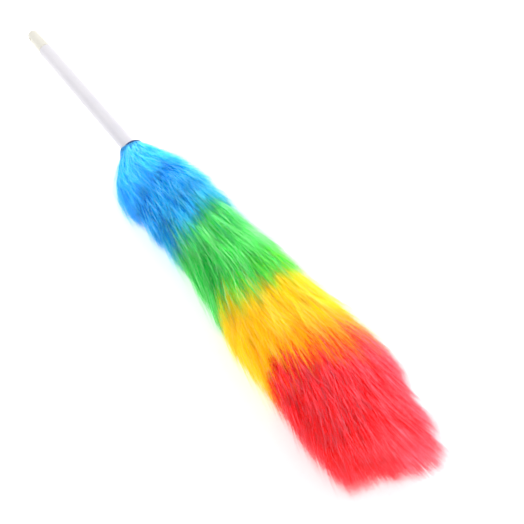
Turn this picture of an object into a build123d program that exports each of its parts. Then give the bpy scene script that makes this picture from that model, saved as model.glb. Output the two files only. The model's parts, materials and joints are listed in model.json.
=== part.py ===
from build123d import *
import os

# A long shaggy duster with a bendable wire core, lying on a level surface.
#
# Everything is first drawn about the duster's own axis, where a "station" is the
# distance in mm from the free end of the handle. Then the whole duster is laid down:
# tilted so that the handle's end and the squashed underside of the head both rest on
# z = 0, and centred on its bounding box. +X runs from the handle to the head's tip.

# ---- Handle, mm ----
tube_diameter = 15.0
tube_wall = 1.4
tube_start = 36.0
tube_end = 226.5
tube_rim_round = 0.6
plug_tip_diameter = 12.0
plug_neck_diameter = 13.4
plug_tip_round = 5.0
plug_groove = 1.6  # width of the groove between the plug's shoulder and the tube's rim
plug_depth = 24.0  # of the spigot inside the tube
hang_hole_diameter = 4.6
hang_hole_station = 9.0
bush_length = 32.0
collar_diameter = 24.0
collar_sleeve = 4.0  # length that laps over the tube
collar_wall = 2.2  # end wall that closes the tube's mouth
collar_bevel = 1.0
seat_diameter = 14.2  # of the tube's end, under the collar's sleeve
seat_gap = 0.3  # between the tube's shoulder and the collar

# ---- Twisted wire core, mm ----
wire_diameter = 2.4
wire_gap = 0.1  # between the two strands
twist_pitch = 14.0
core_start = 195.0
core_end = 565.0
hinge_gap = 1.6  # cut in the core at each bend, so that the pieces can turn
trim = 2.0  # extra length of strand that is cut away to leave square ends
bore_clearance = 0.1

# ---- Fibre tiers: roots on the core, tips further out ----
colours = ("blue", "green", "yellow", "red")
tier_counts = (3, 3, 3, 5)
root_stations = (229.5, 290.0, 380.0, 456.0, 561.0)
tip_stations = (266.0, 356.0, 450.0, 524.0, 632.0)
head_outline = (  # station and radius
    (266.0, 37.0),
    (300.0, 36.0),
    (365.0, 33.5),
    (450.0, 42.0),
    (535.0, 47.0),
    (590.0, 44.0),
    (632.0, 31.0),
)
root_radius = 6.4  # of a tier where it leaves the core
tier_gap = 0.3  # each tier is held back this far from its neighbours' faces
sweep_run = 0.34  # share of a tier's reach at which its fibres turn towards the tip
sweep_rise = 0.62  # share of its height that they have reached there
binding_width = 3.2
binding_thickness = 1.6
bead_length = 6.0
bead_diameter = 8.0
bead_round = 1.2

# ---- How it lies ----
tilt = 2.4  # degrees, head end up

tube_radius = tube_diameter / 2
tube_bore_radius = tube_radius - tube_wall
seat_radius = seat_diameter / 2
core_radius = wire_diameter + wire_gap / 2
bore_radius = core_radius + bore_clearance
binding_radius = bore_radius + binding_thickness
bead_start = root_stations[-1] + tier_gap
bead_end = bead_start + bead_length


def turned(outline):
    """Solid turned about the duster's axis from its (station, radius) corners."""
    return revolve(make_face(Polyline(*outline, close=True)), Axis.X)


def outline_radius(station):
    """Radius of the head at a station, in straight runs between the outline's points."""
    for (start, low), (end, high) in zip(head_outline, head_outline[1:]):
        if station <= end:
            return low + (high - low) * max(0.0, station - start) / (end - start)
    return head_outline[-1][1]


def handle_tube():
    """Hollow tube with a rounded rim at its free end and a reduced seat for the collar."""
    seat_start = tube_end - collar_sleeve - seat_gap
    outline = Polyline(
        (tube_start, tube_bore_radius),
        (tube_start, tube_radius),
        (seat_start, tube_radius),
        (seat_start, seat_radius),
        (tube_end, seat_radius),
        (tube_end, tube_bore_radius),
        close=True,
    )
    profile = make_face(outline)
    rim_corner = profile.vertices().sort_by(Axis.X)[:2].sort_by(Axis.Y)[-1]
    return revolve(fillet(rim_corner, tube_rim_round), Axis.X)


def end_plug():
    """Tapered plug with a domed end, a cross hole to hang it by and a spigot inside the tube."""
    shoulder = tube_start - plug_groove
    spigot_end = tube_start + plug_depth
    outline = Polyline(
        (0, 0),
        (0, plug_tip_diameter / 2),
        (shoulder, plug_neck_diameter / 2),
        (shoulder, tube_bore_radius),
        (spigot_end, tube_bore_radius),
        (spigot_end, 0),
        close=True,
    )
    profile = make_face(outline)
    dome_corner = profile.vertices().sort_by(Axis.X)[:2].sort_by(Axis.Y)[-1]
    plug = revolve(fillet(dome_corner, plug_tip_round), Axis.X)
    hole = Pos(hang_hole_station, 0, 0) * Rot(90, 0, 0) * Cylinder(hang_hole_diameter / 2, plug_neck_diameter + 2)
    return plug - hole


def core_bush():
    """Plastic bush pressed into the front of the tube, which grips the wire core."""
    start = tube_end - bush_length
    return turned(
        (
            (start, bore_radius),
            (start, tube_bore_radius),
            (tube_end, tube_bore_radius),
            (tube_end, bore_radius),
        )
    )


def neck_collar():
    """Cup that laps over the tube's seat and closes its mouth round the core."""
    collar_radius = collar_diameter / 2
    start = tube_end - collar_sleeve
    end = tube_end + collar_wall
    return turned(
        (
            (start, seat_radius),
            (start, collar_radius - collar_bevel),
            (start + collar_bevel, collar_radius),
            (end - collar_bevel, collar_radius),
            (end, collar_radius - collar_bevel),
            (end, bore_radius),
            (tube_end, bore_radius),
            (tube_end, seat_radius),
        )
    )


def core_wire(start, end):
    """The two strands of the twisted core between two stations, cut square at both ends."""
    offset = (wire_diameter + wire_gap) / 2
    length = end - start
    helix = Helix(pitch=twist_pitch, height=length + 2 * trim, radius=offset)
    section = Plane(origin=helix @ 0, z_dir=helix % 0) * Circle(wire_diameter / 2)
    strand = Pos(0, 0, -trim) * sweep(section, path=helix, is_frenet=True)
    square = Pos(0, 0, length / 2) * Cylinder(core_radius + trim, length)
    upright = strand & square
    turn = 360 * (start - core_start) / twist_pitch
    along_axis = Pos(start, 0, 0) * Rot(0, 90, 0)
    return Compound([along_axis * Rot(0, 0, turn + phase) * upright for phase in (0, 180)])


def swept_edge(root, tip):
    """Slanted edge of a tier, from its root up to its tip: steep first, then forward."""
    height = outline_radius(tip) - root_radius
    knee = (root + sweep_run * (tip - root), root_radius + sweep_rise * height)
    return [(root, root_radius), knee, (tip, outline_radius(tip))]


def shifted(points, distance):
    """Outline points moved along the axis."""
    return [(station + distance, radius) for station, radius in points]


def fibre_tier(root, next_root, previous_tip, tip, is_last):
    """Skirt of fibres, nested under the skirt before it, as one closed solid."""
    binding_end = root + tier_gap + binding_width
    pocket = [
        (binding_end + tier_gap, bore_radius),
        (binding_end + tier_gap, binding_radius + tier_gap),
        (root + tier_gap, binding_radius + tier_gap),
    ]
    upper = shifted(swept_edge(root, previous_tip), tier_gap)
    if is_last:
        bead_pocket = bead_diameter / 2 + tier_gap
        lower = [
            (tip, outline_radius(tip)),
            (tip, 0),
            (bead_end + tier_gap, 0),
            (bead_end + tier_gap, bead_pocket),
            (next_root, bead_pocket),
            (next_root, bore_radius),
        ]
    else:
        lower = shifted(swept_edge(next_root, tip)[::-1], -tier_gap)
        lower.append((next_root - tier_gap, bore_radius))
    return turned(pocket + upper + lower)


def binding(root):
    """Ring of thread that ties a tier's root to the core."""
    start = root + tier_gap
    return turned(
        (
            (start, bore_radius),
            (start, binding_radius),
            (start + binding_width, binding_radius),
            (start + binding_width, bore_radius),
        )
    )


def tip_bead():
    """Plastic bead pushed over the sharp end of the wire."""
    radius = bead_diameter / 2
    bead = Pos((bead_start + bead_end) / 2, 0, 0) * Rot(0, 90, 0) * Cylinder(radius, bead_length)
    bead = fillet(bead.edges().filter_by(GeomType.CIRCLE), bead_round)
    socket = turned(((bead_start - 1, 0), (bead_start - 1, bore_radius), (core_end, bore_radius), (core_end, 0)))
    return bead - socket


def tier_stations():
    """Colour, number, root, next root, previous tip and tip of every tier, in order."""
    rows = []
    for index, colour in enumerate(colours):
        count = tier_counts[index]
        root_start, root_end = root_stations[index : index + 2]
        tip_start, tip_end = tip_stations[index : index + 2]
        root_step = (root_end - root_start) / count
        tip_step = (tip_end - tip_start) / count
        for number in range(count):
            root = root_start + root_step * number
            previous_tip = tip_start + tip_step * number
            rows.append((colour, number + 1, root, root + root_step, previous_tip, previous_tip + tip_step))
    return rows


def all_pieces():
    """Every piece about the duster's own axis, by node name."""
    pieces = {
        "handle_tube": handle_tube(),
        "end_plug": end_plug(),
        "core_bush": core_bush(),
        "neck_collar": neck_collar(),
        "tip_bead": tip_bead(),
    }
    bends = root_stations[1:-1]
    starts = [core_start] + [bend + hinge_gap / 2 for bend in bends]
    ends = [bend - hinge_gap / 2 for bend in bends] + [core_end]
    for colour, start, end in zip(colours, starts, ends):
        pieces["core_wire_" + colour] = core_wire(start, end)
    rows = tier_stations()
    for colour in colours:
        rings = [binding(row[2]) for row in rows if row[0] == colour]
        pieces["binding_" + colour] = Compound(rings)
    for colour, number, root, next_root, previous_tip, tip in rows:
        is_last = (colour, number) == rows[-1][:2]
        tier = fibre_tier(root, next_root, previous_tip, tip, is_last)
        pieces["%s_tier_%d" % (colour, number)] = tier
    return pieces


def lay_down(pieces):
    """Tilts the duster onto the surface, squashes the head's underside and centres it."""
    tube_foot = Pos(tube_start, 0, -tube_radius)
    foot_height = (Rot(0, -tilt, 0) * tube_foot).position.Z
    place = Pos(0, 0, -foot_height) * Rot(0, -tilt, 0)
    above = Pos(400, 0, 150) * Box(1000, 300, 300)
    laid = {}
    for name, piece in pieces.items():
        laid[name] = place * piece
        if "_tier_" in name:
            laid[name] &= above
    box = Compound(list(laid.values())).bounding_box()
    centre = Pos(-(box.min.X + box.max.X) / 2, -(box.min.Y + box.max.Y) / 2, 0)
    print("origin shift", centre.position, "axis height at station 0", -foot_height)
    return {name: centre * piece for name, piece in laid.items()}


os.makedirs("parts", exist_ok=True)
for name, piece in lay_down(all_pieces()).items():
    export_step(piece, "parts/%s.step" % name)
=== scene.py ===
import json
import math
import bpy
import numpy as np
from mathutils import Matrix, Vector


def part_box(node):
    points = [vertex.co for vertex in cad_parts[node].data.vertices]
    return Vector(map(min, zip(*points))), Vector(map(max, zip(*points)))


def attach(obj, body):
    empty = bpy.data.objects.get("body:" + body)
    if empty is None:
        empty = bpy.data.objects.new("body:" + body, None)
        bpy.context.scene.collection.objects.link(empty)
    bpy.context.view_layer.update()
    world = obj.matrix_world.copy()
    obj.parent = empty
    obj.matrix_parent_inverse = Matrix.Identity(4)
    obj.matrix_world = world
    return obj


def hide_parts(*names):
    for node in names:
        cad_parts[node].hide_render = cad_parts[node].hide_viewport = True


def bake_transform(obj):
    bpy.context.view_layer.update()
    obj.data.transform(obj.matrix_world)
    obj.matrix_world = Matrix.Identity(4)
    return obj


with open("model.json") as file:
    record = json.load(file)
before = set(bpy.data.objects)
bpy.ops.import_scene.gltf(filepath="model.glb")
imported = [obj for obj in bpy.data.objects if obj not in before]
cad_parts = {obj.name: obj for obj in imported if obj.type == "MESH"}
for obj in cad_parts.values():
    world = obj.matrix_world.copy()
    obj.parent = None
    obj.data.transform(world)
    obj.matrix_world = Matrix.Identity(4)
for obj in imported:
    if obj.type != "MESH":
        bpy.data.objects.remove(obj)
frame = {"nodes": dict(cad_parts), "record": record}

# A rainbow static duster lying on a white surface. The handle, plug and collar are the
# CAD nodes with finished materials. Each soft fibre tier is replaced by a mesh of fine
# tapered strands, gathered in locks, that grow from the core and sweep to the tip.

MM = 0.001
FULL_TURN = 2 * math.pi
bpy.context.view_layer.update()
record = frame["record"]
nodes = frame["nodes"]
joints = {j["name"]: j for j in record["behaviour"]["joints"]}


def in_mm(*lengths):
    return [length * MM for length in lengths]


# ---- The duster's own axis, through its bend hinges ----
bend_names = ("bend_blue_green", "bend_green_yellow", "bend_yellow_red")
bend_points = [Vector(joints[name]["pos_m"]) for name in bend_names]
axis_direction = (bend_points[-1] - bend_points[0]).normalized()
axis_slope = axis_direction.z / axis_direction.x
axis_height = bend_points[0].z - axis_slope * bend_points[0].x

# ---- Colours: one body and tier list each ----
bodies = {
    "blue": "handle",
    "green": "green_section",
    "yellow": "yellow_section",
    "red": "red_section",
}
colours = tuple(bodies)
tiers = {c: sorted(n for n in nodes if n.startswith(c + "_tier_")) for c in colours}
tier_order = [name for c in colours for name in tiers[c]]


# ---------------------------------------------------------------- camera, light, floor
WHITE = (1.0, 1.0, 1.0)
CAMERA_TARGET = (0.088, 0.024, 0.020)
CAMERA_DISTANCE = 0.708
CAMERA_AZIMUTH, CAMERA_ELEVATION = 55.1, 54.0  # degrees
LENS, SENSOR_WIDTH = 57.1, 36.0
NEAR_CLIP = 0.01

SKY_BRIGHT_SIDE = (0.0, 0.64, 0.77)
SKY_STRENGTH = {"From Min": -0.6, "From Max": 0.9, "To Min": 0.5, "To Max": 0.84}

FLOOR_HALF = 6.0
FLOOR_DROP = 0.0002  # keeps the floor clear of what lies on it
FLOOR_COLOUR = (0.93, 0.93, 0.935)
FLOOR_GLOW = 0.53


def opaque(colour):
    return (*colour, 1.0)


def make_camera():
    target = Vector(CAMERA_TARGET)
    azimuth, elevation = math.radians(CAMERA_AZIMUTH), math.radians(CAMERA_ELEVATION)
    back = Vector(
        (
            math.sin(azimuth) * math.cos(elevation),
            -math.cos(azimuth) * math.cos(elevation),
            math.sin(elevation),
        )
    )
    data = bpy.data.cameras.new("camera")
    data.lens = LENS
    data.sensor_width = SENSOR_WIDTH
    data.clip_start = NEAR_CLIP
    camera = bpy.data.objects.new("camera", data)
    camera.location = target + back * CAMERA_DISTANCE
    camera.rotation_euler = back.to_track_quat("Z", "Y").to_euler()
    bpy.context.scene.collection.objects.link(camera)
    bpy.context.scene.camera = camera


def area_light(name, place, aim, size, power):
    data = bpy.data.lights.new(name, "AREA")
    data.shape = "DISK"
    data.size = size
    data.energy = power
    data.color = WHITE
    light = bpy.data.objects.new(name, data)
    light.location = place
    light.rotation_euler = (Vector(place) - Vector(aim)).to_track_quat("Z", "Y").to_euler()
    bpy.context.scene.collection.objects.link(light)


def make_light():
    """A bright studio tent, brighter overhead and behind, with a soft key light from
    behind and a weak fill by the handle."""
    world = bpy.data.worlds.new("studio")
    world.use_nodes = True
    tree = world.node_tree
    back = tree.nodes["Background"]
    back.inputs["Color"].default_value = opaque(WHITE)
    place = tree.nodes.new("ShaderNodeTexCoord")
    facing = tree.nodes.new("ShaderNodeVectorMath")
    facing.operation = "DOT_PRODUCT"
    facing.inputs[1].default_value = SKY_BRIGHT_SIDE
    tree.links.new(place.outputs["Generated"], facing.inputs[0])
    strength = node(tree, "ShaderNodeMapRange", **SKY_STRENGTH)
    tree.links.new(facing.outputs["Value"], strength.inputs["Value"])
    tree.links.new(strength.outputs["Result"], back.inputs["Strength"])
    bpy.context.scene.world = world
    area_light("key", place=(0.15, 1.3, 1.5), aim=(0.1, 0.0, 0.0), size=1.4, power=7.0)
    area_light("fill", place=(-0.5, -0.1, 0.4), aim=(-0.2, 0.0, 0.0), size=0.35, power=0.2)
    bpy.context.scene.view_settings.view_transform = "Standard"


def make_floor():
    mesh = bpy.data.meshes.new("floor")
    corners = [(x * FLOOR_HALF, y * FLOOR_HALF, 0) for x, y in ((-1, -1), (1, -1), (1, 1), (-1, 1))]
    mesh.from_pydata(corners, [], [(0, 1, 2, 3)])
    floor = bpy.data.objects.new("floor", mesh)
    floor.location.z = -FLOOR_DROP
    bpy.context.scene.collection.objects.link(floor)
    mat = bpy.data.materials.new("floor_white")
    mat.use_nodes = True
    shader = mat.node_tree.nodes["Principled BSDF"]
    shader.inputs["Base Color"].default_value = opaque(FLOOR_COLOUR)
    shader.inputs["Roughness"].default_value = 0.8
    shader.inputs["Specular IOR Level"].default_value = 0.1
    shader.inputs["Emission Color"].default_value = opaque(WHITE)
    shader.inputs["Emission Strength"].default_value = FLOOR_GLOW
    mesh.materials.append(mat)


# ---------------------------------------------------------------- materials
MIX_FACTOR, MIX_FIRST, MIX_SECOND, MIX_COLOUR = 0, 6, 7, 2  # a colour Mix node's sockets

STRAND_UV = "OFBake"
DYE = 0.935  # how much light the dyed fibre keeps, against the shades below
THROUGH = 0.86  # light that a fibre lets through, against what it reflects
MIXED = 0.125  # share of the strands' map, at each side, for shades mixed with the next colour
STOP_GAP = 0.005  # half the gap between two shades that meet sharply on the strands' map
PAINTED_TIP_LIGHT_RANGE = (0.8, 1.0)  # where a strand turns to its paler tip colour, a painted light, along the strand
PAINTED_TIP_LIGHT_SHARE = 0.6  # how much of the painted tip light a strand's very end takes


def node(tree, kind, **inputs):
    made = tree.nodes.new(kind)
    for name, value in inputs.items():
        made.inputs[name].default_value = value
    return made


def ramp(tree, source, stops):
    """A colour ramp over source, with (position, colour) stops."""
    made = tree.nodes.new("ShaderNodeValToRGB")
    elements = made.color_ramp.elements
    while len(elements) < len(stops):
        elements.new(0.5)
    for element, (position, colour) in zip(elements, stops):
        element.position = position
        element.color = opaque(colour)
    tree.links.new(source, made.inputs["Fac"])
    return made


def mix(tree, first):
    """A colour Mix node that starts from the first colour."""
    made = tree.nodes.new("ShaderNodeMix")
    made.data_type = "RGBA"
    tree.links.new(first, made.inputs[MIX_FIRST])
    return made


def linear(red, green, blue):
    """Linear light from a display colour of 0 to 255."""
    channels = [v / 255 for v in (red, green, blue)]
    return tuple(v / 12.92 if v <= 0.04045 else ((v + 0.055) / 1.055) ** 2.4 for v in channels)


def plastic(name, shade, deep_shade, roughness, grain, grain_depth):
    """Moulded plastic: a slow drift of shade, fine surface grain, and uneven gloss."""
    mat = bpy.data.materials.new(name)
    mat.use_nodes = True
    tree = mat.node_tree
    shader = tree.nodes["Principled BSDF"]
    place = tree.nodes.new("ShaderNodeTexCoord")
    cloud = node(tree, "ShaderNodeTexNoise", Scale=38.0, Detail=4.0, Roughness=0.6)
    fine = node(tree, "ShaderNodeTexNoise", Scale=grain, Detail=3.0, Roughness=0.6)
    for noise in (cloud, fine):
        tree.links.new(place.outputs["Object"], noise.inputs["Vector"])
    drift = ramp(tree, cloud.outputs["Fac"], [(0.3, deep_shade), (0.7, shade)])
    tree.links.new(drift.outputs["Color"], shader.inputs["Base Color"])
    gloss_range = {"To Min": roughness - 0.06, "To Max": roughness + 0.08}
    gloss = node(tree, "ShaderNodeMapRange", **gloss_range)
    tree.links.new(cloud.outputs["Fac"], gloss.inputs["Value"])
    tree.links.new(gloss.outputs["Result"], shader.inputs["Roughness"])
    bump = node(tree, "ShaderNodeBump", Strength=0.35, Distance=grain_depth)
    tree.links.new(fine.outputs["Fac"], bump.inputs["Height"])
    tree.links.new(bump.outputs["Normal"], shader.inputs["Normal"])
    shader.inputs["IOR"].default_value = 1.46
    return mat


def dyed(shade):
    return tuple(DYE * v for v in shade)


def strand_shades(shades, before, after):
    """Ramp stops across the strands' map: a colour's own shades, between the mixed shades
    of the colour before and the colour after."""
    low, high = MIXED + STOP_GAP, 1 - MIXED - STOP_GAP
    steps = len(shades) - 1
    stops = [(0.0, before[0]), (MIXED - STOP_GAP, before[1])]
    stops += [(low + (high - low) * i / steps, shade) for i, shade in enumerate(shades)]
    stops += [(1 - MIXED + STOP_GAP, after[0]), (1.0, after[1])]
    return stops


def fibre_material(name, shades, painted_root_shade, painted_tip_light, painted_root_shade_range, before, after):
    """Split plastic fibre. Across the strands' map runs each strand's own shade; along it run a
    painted shade towards the root, where the tiers above cover it, that own shade, and a touch of
    painted light at the tip."""
    shades, before, after = [[dyed(shade) for shade in row] for row in (shades, before, after)]
    mat = bpy.data.materials.new(name)
    mat.use_nodes = True
    tree = mat.node_tree
    shader = tree.nodes["Principled BSDF"]
    uv = tree.nodes.new("ShaderNodeUVMap")
    uv.uv_map = STRAND_UV
    split = tree.nodes.new("ShaderNodeSeparateXYZ")
    tree.links.new(uv.outputs["UV"], split.inputs["Vector"])
    across, along = split.outputs["X"], split.outputs["Y"]
    own = ramp(tree, across, strand_shades(shades, before, after))

    # Painted shade: along a strand, towards its root, where the tiers above cover it, the colour
    # turns to the deeper root colour
    root_end, own_start = painted_root_shade_range
    depth = ramp(tree, along, [(root_end, (1, 1, 1)), (own_start, (0, 0, 0))])
    painted_root_shaded = mix(tree, own.outputs["Color"])
    tree.links.new(depth.outputs["Color"], painted_root_shaded.inputs[MIX_FACTOR])
    painted_root_shaded.inputs[MIX_SECOND].default_value = opaque(dyed(painted_root_shade))

    # Painted light: towards a strand's end, which lies out in the light, the colour turns partly to
    # the paler tip colour
    tip_start, tip_end = PAINTED_TIP_LIGHT_RANGE
    end = ramp(tree, along, [(tip_start, (0, 0, 0)), (tip_end, (PAINTED_TIP_LIGHT_SHARE,) * 3)])
    painted_tip_lit = mix(tree, painted_root_shaded.outputs[MIX_COLOUR])
    tree.links.new(end.outputs["Color"], painted_tip_lit.inputs[MIX_FACTOR])
    painted_tip_lit.inputs[MIX_SECOND].default_value = opaque(dyed(painted_tip_light))

    tree.links.new(painted_tip_lit.outputs[MIX_COLOUR], shader.inputs["Base Color"])
    shader.inputs["Roughness"].default_value = 0.36
    shader.inputs["Specular IOR Level"].default_value = 0.22

    # Thin fibre passes about as much light as it reflects
    dimmed = mix(tree, painted_tip_lit.outputs[MIX_COLOUR])
    dimmed.blend_type = "MULTIPLY"
    dimmed.inputs[MIX_FACTOR].default_value = 1.0
    dimmed.inputs[MIX_SECOND].default_value = opaque((THROUGH,) * 3)
    through = tree.nodes.new("ShaderNodeBsdfTranslucent")
    tree.links.new(dimmed.outputs[MIX_COLOUR], through.inputs["Color"])
    both = tree.nodes.new("ShaderNodeAddShader")
    tree.links.new(shader.outputs["BSDF"], both.inputs[0])
    tree.links.new(through.outputs["BSDF"], both.inputs[1])
    tree.links.new(both.outputs["Shader"], tree.nodes["Material Output"].inputs["Surface"])
    return mat


def fibre_materials():
    teal = (linear(20, 160, 175), linear(70, 205, 190))
    lime = (linear(120, 210, 60), linear(195, 230, 80))
    orange = (linear(246, 132, 20), linear(250, 186, 60))
    rose = (linear(248, 80, 95), linear(250, 120, 140))
    # Each colour's root colour is a painted shade, and its tip colour a painted light
    return {
        "blue": fibre_material(
            "blue_fibre",
            shades=[
                linear(0, 140, 204),
                linear(4, 177, 214),
                linear(32, 204, 224),
                linear(96, 222, 234),
                linear(180, 240, 247),
            ],
            painted_root_shade=linear(0, 136, 214),
            painted_tip_light=linear(120, 224, 248),
            painted_root_shade_range=(0.33, 0.78),
            before=teal,
            after=teal,
        ),
        "green": fibre_material(
            "green_fibre",
            shades=[
                linear(0, 190, 85),
                linear(88, 214, 120),
                linear(142, 226, 160),
                linear(175, 232, 185),
                linear(208, 240, 212),
            ],
            painted_root_shade=linear(10, 202, 86),
            painted_tip_light=linear(170, 240, 170),
            painted_root_shade_range=(0.3, 0.74),
            before=teal,
            after=lime,
        ),
        "yellow": fibre_material(
            "yellow_fibre",
            shades=[
                linear(230, 207, 0),
                linear(232, 213, 0),
                linear(234, 220, 20),
                linear(237, 224, 75),
                linear(241, 231, 150),
            ],
            painted_root_shade=linear(236, 221, 0),
            painted_tip_light=linear(244, 230, 115),
            painted_root_shade_range=(0.25, 0.68),
            before=lime,
            after=orange,
        ),
        "red": fibre_material(
            "red_fibre",
            shades=[
                linear(214, 0, 14),
                linear(226, 16, 26),
                linear(230, 46, 58),
                linear(234, 104, 120),
                linear(242, 180, 195),
            ],
            painted_root_shade=linear(228, 0, 10),
            painted_tip_light=linear(244, 150, 166),
            painted_root_shade_range=(0.3, 0.74),
            before=orange,
            after=rose,
        ),
    }


# ---------------------------------------------------------------- fibre strands
TAPER = np.array([0.7, 1.0, 1.0, 0.9, 0.65, 0.0])  # a strand's width at each point along it
POINTS = len(TAPER)
SIDES = 3  # of a strand's section
FLATNESS = 0.6  # a strand's thickness, against its width
SHADES = 64  # columns of the strands' map
COLUMN_SPREAD = 0.35  # how far a strand's corners reach across its column
STRAND_END_V = 0.99  # the tip's place along the strands' map
TINY = 1e-12  # keeps a vector of no length from dividing by zero
OFF_CORE = 1e-9  # keeps a point on the core's own line from having no direction outwards

PRESS_HEIGHT = 9 * MM  # fibres below this height are pressed flatter
FLOOR_GAP = 0.4 * MM
PRESS_SPREAD = 0.28  # how much wider fibres lie that are pressed down by PRESS_FULL
PRESS_FULL = 30 * MM


def smooth(t):
    return t * t * (3 - 2 * t)


def bezier(t, p0, p1, p2, p3):
    s = 1 - t
    return s**3 * p0 + 3 * s * s * t * p1 + 3 * s * t * t * p2 + t**3 * p3


def to_world(along, out, angle):
    """Points from distance along X, distance out from the core, and angle round it
    (0 is +Y, pi/2 up)."""
    y = out * np.cos(angle)
    lift = out * np.sin(angle)
    x = along - axis_direction.z * lift
    z = axis_height + axis_slope * along + axis_direction.x * lift
    return np.stack([x, y, z], axis=-1)


def settle(points):
    """Presses what would sink through the floor into a thin, spread layer just above it."""
    layer = PRESS_HEIGHT - FLOOR_GAP
    z = points[..., 2]
    low = z < PRESS_HEIGHT
    depth = np.where(low, PRESS_HEIGHT - z, 0.0)
    points[..., 2] = np.where(low, FLOOR_GAP + layer * np.exp(-depth / layer), z)
    points[..., 1] *= 1 + PRESS_SPREAD * np.clip(depth / PRESS_FULL, 0, 1)
    return points


def unit(vectors):
    return vectors / (np.linalg.norm(vectors, axis=2, keepdims=True) + TINY)


def strand_corners(points, widths):
    """Each strand's corners, ring by ring, then its tip."""
    count, rings = points.shape[0], points.shape[1] - 1
    tangent = unit(np.gradient(points, axis=1))
    x = points[..., 0]
    centre = np.stack([x, 0 * x, axis_height + axis_slope * x], axis=-1)
    side = unit(np.cross(tangent, points - centre + OFF_CORE))
    out = np.cross(side, tangent)
    corners = np.empty((count, rings * SIDES + 1, 3))
    for j in range(SIDES):
        angle = FULL_TURN * j / SIDES
        offset = math.cos(angle) * out * FLATNESS + math.sin(angle) * side
        corners[:, j : rings * SIDES : SIDES] = (points + widths[..., None] * offset)[:, :rings]
    corners[:, -1] = points[:, -1]
    return corners


def strand_faces(count, rings):
    """Every strand's faces, as one row of vertex numbers and the start of each face."""
    quads = []
    for i in range(rings - 1):
        for j in range(SIDES):
            k = (j + 1) % SIDES
            near, far = i * SIDES, (i + 1) * SIDES
            quads.append((near + j, near + k, far + k, far + j))
    last, point = (rings - 1) * SIDES, rings * SIDES
    ends = [(last + j, last + (j + 1) % SIDES, point) for j in range(SIDES)]
    ends.append((2, 1, 0))
    base = np.arange(count)[:, None, None] * (point + 1)
    quad_loops = (np.array(quads)[None] + base).reshape(-1)
    end_loops = (np.array(ends)[None] + base).reshape(-1)
    loops = np.concatenate([quad_loops, end_loops]).astype(np.int32)
    quad_count, end_count = len(quads) * count, len(ends) * count
    starts = [np.arange(quad_count) * 4, quad_count * 4 + np.arange(end_count) * 3]
    return loops, np.concatenate(starts).astype(np.int32)


def strand_map(shades, rings, root_v):
    """Each corner's place on the strands' map: its strand's shade, and its place along it."""
    column = (np.floor(shades * SHADES).clip(0, SHADES - 1) + 0.5) / SHADES
    across = np.array([0.0, COLUMN_SPREAD, -COLUMN_SPREAD] * rings + [0.0]) / SHADES
    along = np.repeat(np.linspace(root_v, STRAND_END_V, rings + 1), SIDES)[: rings * SIDES + 1]
    u = (column[:, None] + across[None]).reshape(-1)
    v = np.broadcast_to(along, (len(shades), len(along))).reshape(-1)
    return u, v


def strand_mesh(name, points, widths, shades, material, root_v):
    """Closed, three-sided, tapering strands as one mesh, with their map."""
    count, rings = points.shape[0], points.shape[1] - 1
    corners = strand_corners(points, widths)
    loops, starts = strand_faces(count, rings)
    u, v = strand_map(shades, rings, root_v)
    mesh = bpy.data.meshes.new(name)
    mesh.vertices.add(corners.shape[0] * corners.shape[1])
    mesh.vertices.foreach_set("co", corners.reshape(-1).astype(np.float32))
    mesh.loops.add(len(loops))
    mesh.loops.foreach_set("vertex_index", loops)
    mesh.polygons.add(len(starts))
    mesh.polygons.foreach_set("loop_start", starts)
    mesh.polygons.foreach_set("use_smooth", np.ones(len(starts), dtype=bool))
    mesh.update(calc_edges=True)
    layer = mesh.uv_layers.new(name=STRAND_UV)
    uv = np.stack([u[loops], v[loops]], axis=1).reshape(-1).astype(np.float32)
    layer.data.foreach_set("uv", uv)
    mesh.materials.append(material)
    made = bpy.data.objects.new(name, mesh)
    bpy.context.scene.collection.objects.link(made)
    return made


# ---------------------------------------------------------------- the head's shape
def tier_frame(index):
    """Where a tier's roots begin and end, where its tips are, and its radius, from the
    CAD boxes."""
    low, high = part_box(tier_order[index])
    if index + 1 < len(tier_order):
        next_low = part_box(tier_order[index + 1])[0]
        root_end = next_low.x
    else:
        root_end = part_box("tip_bead")[0].x
    return low.x, root_end, high.x, (high.y - low.y) / 2


frames = [tier_frame(i) for i in range(len(tier_order))]
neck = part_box("neck_collar")[1].x
collar_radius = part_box("neck_collar")[1].y
head_tip = frames[-1][2]
# The head's radius, by distance from the collar up to the first tips, then at each tier's tips
outline_places = [neck, neck + 8 * MM, neck + 22 * MM] + [f[2] for f in frames]
outline_radii = in_mm(12, 24, 35) + [f[3] for f in frames]
# How far the head bulges sideways from its core as it lies, by distance from the collar
lean_places = [neck + d for d in in_mm(0, 10, 20, 35, 55, 75, 125, 180, 235, 290, 325, 350)]
lean_sizes = in_mm(0, -5, -10, -11, -5.5, -1, 0.5, 1.5, -1.5, 1, 0, -4.5)
# How much further a colour's tips reach over the next colour, by angle round the core
drape_angles = [math.radians(a) for a in (0, 30, 60, 90, 120, 150, 180, 210, 270)]
tip_drape = {
    "blue": in_mm(-8, -8, -4, 4, 12, 16, 14, 8, 0),
    "green": in_mm(-2, 2, 8, 20, 18, 6, -2, -3, 0),
    "yellow": in_mm(12, 16, 18, 26, 7, -13, -2, 2, 0),
    "red": in_mm(9, 6, 2, 0, -1, -2, -3, -2, 2),
}
# How far back a colour's first fibres stand up among the last ones of the colour before
head_start = {"blue": 0.0, "green": 26 * MM, "yellow": 10 * MM, "red": 10 * MM}
# Painted light and shade: how much paler a colour's fibres get towards the side that faces the
# light, and darker towards the side away from it
painted_side_light_and_shade = {"blue": 0.34, "green": 0.28, "yellow": 0.28, "red": 0.42}
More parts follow.
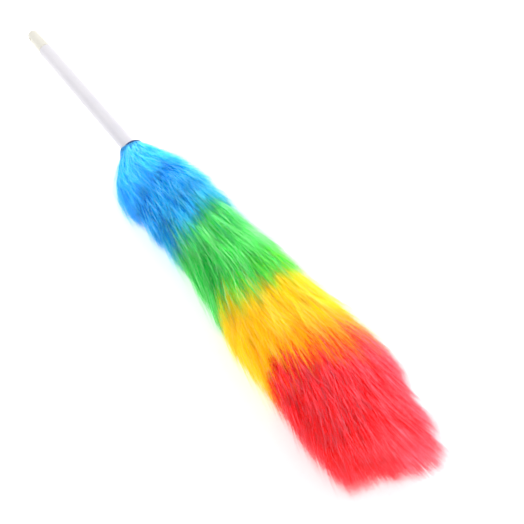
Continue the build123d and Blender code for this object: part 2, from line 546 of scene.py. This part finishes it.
# The head's blunt end is cut on a slant: how far back from the tip, by distance to the +Y side
cut_places = in_mm(-42, -31, -6, 6, 17, 28, 45)
cut_depths = in_mm(28, 22, 20, 13, 5, -3, -5)
CUT_RAGGED = 5 * MM
CUT_TOP = 3 * MM  # how much further back the cut is at the top
# How far the tips fill the outline, before and at the head's end
fullness_places = (head_tip - 65 * MM, head_tip - 40 * MM)
fullness_sizes = (1.03, 0.96)

FIRST_SEED = 1000
# ---- Locks: broad groups of clumps that reach together ----
LOCKS = 36
LOCK_REACH = 3.5 * MM
LOCK_HEIGHT = 0.018
LOCK_SHADE = 0.13
LOCK_LEAN = 0.1
LOCK_BLUR = 0.4  # how far clumps stray into the next lock, in locks
# ---- Clumps: a few strands that run together to one point ----
CLUMPS, END_CLUMPS = 1250, 1400
CLUMP_LEAN = 0.23
CLUMP_HEIGHT = (0.91, 1.04)
MIDDLE_SHADE, CLUMP_SHADE = 0.46, 0.36
SHORTNESS = {"blue": 1.8, "green": 1.15, "yellow": 1.15, "red": 1.15}  # higher: fewer short clumps
SHORT_REACH = 1.5  # how far back short clumps end, in tier steps
FIRST_STEP = 24 * MM  # the first tier has no tier before it to measure its step from
RAGGED, LAST_RAGGED = 1.5 * MM, 5 * MM  # where clumps end; the second for a colour's last tier
FILLING, FILLING_HEIGHT = 0.14, 0.22  # clumps that fill the head's end near the core
END_HEIGHT, END_HEIGHT_POWER = (0.05, 1.0), 0.5  # spreads clumps over the head's blunt end
# ---- Strands ----
STRANDS = 5  # in a clump
ROOT_RADIUS = 3.6 * MM
ROOT_SPREAD = 0.05  # radians
TIP_SIDE, TIP_OUT, TIP_ALONG = 1.5 * MM, 0.7 * MM, 2.6 * MM
RAGGED_SHARE = 0.4  # how much of its clump's raggedness a strand adds to TIP_ALONG
STRAY_SHARE, STRAY_SIDE, STRAY_OUT, STRAY_PALE = 0.22, 4.5, 6 * MM, 0.3
STRAND_SHADE = 0.26
HALF_WIDTH, STRAY_HALF_WIDTH = (0.14, 0.26), 0.17  # in millimetres
SHORT_WIDENING = 0.5
TWIST = 0.24  # radians that a fibre winds round the core on its way out
SPLAY = 0.2  # how fast the surface falls from a tier's tips towards its short clumps
SPLAY_REACH = 40 * MM
MIX_SHARE, SIDE_MIX_SHARE = 0.2, 0.14  # clumps with a mixed shade, and how many more at +Y
TOP_SHADE = 0.999
# ---- A strand's curve: its two inner handles, along its reach and out to its tip ----
CURVE_ALONG, CURVE_OUT = (0.22, 0.58), (0.56, 0.88)
FIRST_CURVE_ALONG, FIRST_CURVE_OUT = (0.20, 0.56), (0.42, 0.82)
# ---- The first fibres, which spread from the collar's front ----
HIDING_SIDE = (0.3, 0.85)  # from where to where they hide the collar, as the share towards -Y
TUCKED, HIDING_TUCKED = 0.5, 0.4
TUCK_BACK, HIDING_TUCK_BACK = 1.2, 4.0  # in millimetres
TUCK_RAGGED = 2.6 * MM
TUCK_GAP = 0.1 * MM
COLLAR_RIM = 0.6  # the innermost roots on the collar's front, against its radius
# Where strands start on their map; the first tier's are seen from the root on, so theirs start
# where the painted root shade has almost gone
ROOT_V, FIRST_ROOT_V = 0.01, 0.72


def head_radius(along):
    return np.interp(along, outline_places, outline_radii)


def strand_curve(ends, handles, t):
    """A value along each strand, at t, from its start to its end by way of two handles."""
    start, end = ends
    first, second = handles
    return bezier(t, start[:, None], first[:, None], second[:, None], end[:, None])


def make_tier(index, colour, material):
    rng = np.random.default_rng(FIRST_SEED + index)
    root_start, root_end, tip, radius = frames[index]
    previous_tip = frames[index - 1][2] if index else tip - FIRST_STEP
    first, last = index == 0, index == len(tier_order) - 1
    opening = tier_order[index] == tiers[colour][0] and not first
    closing = tier_order[index] == tiers[colour][-1]
    clump_total = END_CLUMPS if last else CLUMPS
    count = clump_total * STRANDS
    clump = np.repeat(np.arange(clump_total), STRANDS)
    t = np.linspace(0, 1, POINTS)[None]

    # Locks
    lock_reach = rng.normal(0, LOCK_REACH, LOCKS)
    lock_height = rng.normal(1.0, LOCK_HEIGHT, LOCKS)
    lock_shade = rng.normal(0, LOCK_SHADE, LOCKS)
    lock_lean = rng.normal(0, LOCK_LEAN, LOCKS)

    # Clumps
    clump_centre = rng.uniform(0, FULL_TURN, clump_total)
    lock_place = clump_centre / FULL_TURN * LOCKS + rng.normal(0, LOCK_BLUR, clump_total)
    lock = np.floor(lock_place).astype(int) % LOCKS
    clump_lean = lock_lean[lock] + rng.normal(0, CLUMP_LEAN, clump_total)
    short = rng.uniform(0, 1, clump_total) ** SHORTNESS[colour]
    ragged = LAST_RAGGED if closing else RAGGED
    shortened = short * (tip - previous_tip) * SHORT_REACH
    clump_tip = tip + lock_reach[lock] - shortened + rng.normal(0, ragged, clump_total)
    clump_height = lock_height[lock] * rng.uniform(*CLUMP_HEIGHT, clump_total)
    if last:
        # The head's end is full of tips right down to the core
        filling = rng.uniform(0, 1, clump_total) < FILLING
        clump_height = clump_height * np.where(filling, FILLING_HEIGHT, 1.0)
        clump_height = clump_height * rng.uniform(*END_HEIGHT, clump_total) ** END_HEIGHT_POWER
    clump_shade = MIDDLE_SHADE + lock_shade[lock] + rng.normal(0, CLUMP_SHADE, clump_total)

    # Strands
    root_spread = rng.normal(0, ROOT_SPREAD, count)
    root_share = rng.uniform(0, 1, count)
    tip_side = rng.normal(0, TIP_SIDE, count)
    tip_out = rng.normal(0, TIP_OUT, count)
    tip_along = rng.normal(0, TIP_ALONG + RAGGED_SHARE * ragged, count)
    stray = rng.uniform(0, 1, count) < STRAY_SHARE
    tip_out = np.where(stray, tip_out + rng.uniform(0, STRAY_OUT, count), tip_out)
    tip_side = np.where(stray, tip_side * STRAY_SIDE, tip_side)
    # Fibres that end early are wider, and close the gaps below the long ones
    wide = rng.uniform(*HALF_WIDTH, count) * (1 + SHORT_WIDENING * short[clump])
    half_width = np.where(stray, STRAY_HALF_WIDTH, wide) * MM

    # Where each strand starts and ends: along the core, and round it
    angle_end = (clump_centre + clump_lean + TWIST)[clump]
    angle_start = clump_centre[clump] + root_spread
    drape = np.interp(angle_end, drape_angles, tip_drape[colour], period=FULL_TURN)
    end = clump_tip[clump] + tip_along + drape
    start = root_start + (root_end - root_start) * root_share
    out_start = np.full(count, ROOT_RADIUS)
    if opening:
        start = start - rng.uniform(0, head_start[colour], count)
    if first:
        # The first fibres spread from the collar's front; many are tucked over its edge,
        # and at the -Y side they hide it
        hidden = np.interp(-np.cos(angle_start), HIDING_SIDE, (0.0, 1.0))
        tucked = rng.uniform(0, 1, count) < TUCKED + HIDING_TUCKED * hidden
        back = (TUCK_BACK + HIDING_TUCK_BACK * hidden) * MM + rng.uniform(0, TUCK_RAGGED, count)
        start = np.where(tucked, neck - back, start)
        on_front = rng.uniform(COLLAR_RIM, 1.0, count) * collar_radius
        out_start = np.where(tucked, collar_radius + TUCK_GAP, on_front)
    # Tips stand off the core, so that each tier steps out over the next one's roots
    fall = SPLAY * np.clip(tip + drape - end, 0, SPLAY_REACH)
    fullness = np.interp(end, fullness_places, fullness_sizes)
    out_end = (fullness * head_radius(end) - fall) * clump_height[clump] + tip_out
    side_end = out_end * np.cos(angle_end)
    cut = head_tip - np.interp(side_end, cut_places, cut_depths) - rng.uniform(0, CUT_RAGGED, count)
    cut = cut - CUT_TOP * np.clip(np.sin(angle_end), 0, 1)
    end = np.minimum(end, cut)

    # The strands' curves
    reach = end - start
    curve_along = FIRST_CURVE_ALONG if first else CURVE_ALONG
    curve_out = FIRST_CURVE_OUT if first else CURVE_OUT
    along = strand_curve((start, end), [start + share * reach for share in curve_along], t)
    out = strand_curve((out_start, out_end), [share * out_end for share in curve_out], t)
    angle = angle_start[:, None] + (angle_end - angle_start)[:, None] * smooth(t)
    angle = angle + (tip_side / radius)[:, None] * t**2
    points = to_world(along, out, angle)
    outer = np.clip(out / head_radius(along), 0, 1)
    points[..., 1] += np.interp(along, lean_places, lean_sizes) * outer
    points = settle(points)

    # Shades, as places across the strands' map
    # Strays are paler; towards the side that faces the light the fibres are painted paler, and away
    # from it painted darker
    stray_pale_and_painted_side_light = STRAY_PALE * stray + painted_side_light_and_shade[colour] * np.cos(angle_end)
    shades = clump_shade[clump] + rng.normal(0, STRAND_SHADE, count) + stray_pale_and_painted_side_light
    shades = MIXED + (1 - 2 * MIXED) * np.clip(shades, 0.0, TOP_SHADE)
    # Next to another colour, some clumps take a shade mixed with it
    mix_pick = rng.uniform(0, 1, clump_total)[clump]
    mix_shade = MIXED * rng.uniform(0, TOP_SHADE, count)
    mixed = mix_pick < MIX_SHARE + SIDE_MIX_SHARE * np.cos(angle_end)
    if closing and not last:
        shades = np.where(mixed, 1 - mix_shade, shades)
    elif opening:
        shades = np.where(mixed, mix_shade, shades)

    name = "fibre_" + tier_order[index]
    widths = half_width[:, None] * TAPER[None]
    root_v = FIRST_ROOT_V if first else ROOT_V
    piece = strand_mesh(name, points, widths, shades, material, root_v)
    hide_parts(tier_order[index])
    return piece


def make_head():
    materials = fibre_materials()
    index = 0
    for place, colour in enumerate(colours):
        for name in tiers[colour]:
            piece = make_tier(index, colour, materials[colour])
            # A colour's first fibres grow from both sides of the bend behind them, and the
            # others lie over the bend in front of them
            opens = name == tiers[colour][0] and place > 0
            joined = place - 1 if opens else place
            if joined < len(bend_points):
                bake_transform(piece)
            else:
                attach(piece, bodies[colour])
            index += 1


# ---------------------------------------------------------------- CAD pieces
FINE_GRAIN, MATT_GRAIN, THREAD_GRAIN = 0.00004, 0.00005, 0.0002  # depths, in metres


def dress_cad():
    white = plastic(
        "handle_plastic",
        shade=linear(250, 247, 252),
        deep_shade=linear(244, 241, 248),
        roughness=0.34,
        grain=900.0,
        grain_depth=FINE_GRAIN,
    )
    ivory = plastic(
        "plug_plastic",
        shade=linear(252, 249, 238),
        deep_shade=linear(247, 243, 229),
        roughness=0.4,
        grain=900.0,
        grain_depth=FINE_GRAIN,
    )
    natural = plastic(
        "bush_plastic",
        shade=linear(228, 228, 226),
        deep_shade=linear(216, 216, 214),
        roughness=0.5,
        grain=900.0,
        grain_depth=FINE_GRAIN,
    )
    # The collar's dark navy is partly its own colour and partly painted shade for the hollow where
    # the fibres leave it
    navy_and_painted_shade = plastic(
        "collar_plastic",
        shade=linear(22, 82, 150),
        deep_shade=linear(12, 58, 120),
        roughness=0.42,
        grain=1200.0,
        grain_depth=MATT_GRAIN,
    )
    thread = plastic(
        "binding_thread",
        shade=linear(40, 80, 140),
        deep_shade=linear(24, 50, 100),
        roughness=0.8,
        grain=2600.0,
        grain_depth=THREAD_GRAIN,
    )
    steel = plastic(
        "core_steel",
        shade=linear(190, 190, 194),
        deep_shade=linear(160, 160, 166),
        roughness=0.36,
        grain=1800.0,
        grain_depth=FINE_GRAIN,
    )
    steel.node_tree.nodes["Principled BSDF"].inputs["Metallic"].default_value = 1.0
    looks = {
        "handle_tube": white,
        "end_plug": ivory,
        "core_bush": natural,
        "tip_bead": natural,
        "neck_collar": navy_and_painted_shade,
    }
    for colour in colours:
        looks["core_wire_" + colour] = steel
        looks["binding_" + colour] = thread
    for name, look in looks.items():
        for slot in nodes[name].material_slots:
            slot.material = look


make_camera()
make_light()
make_floor()
make_head()
dress_cad()
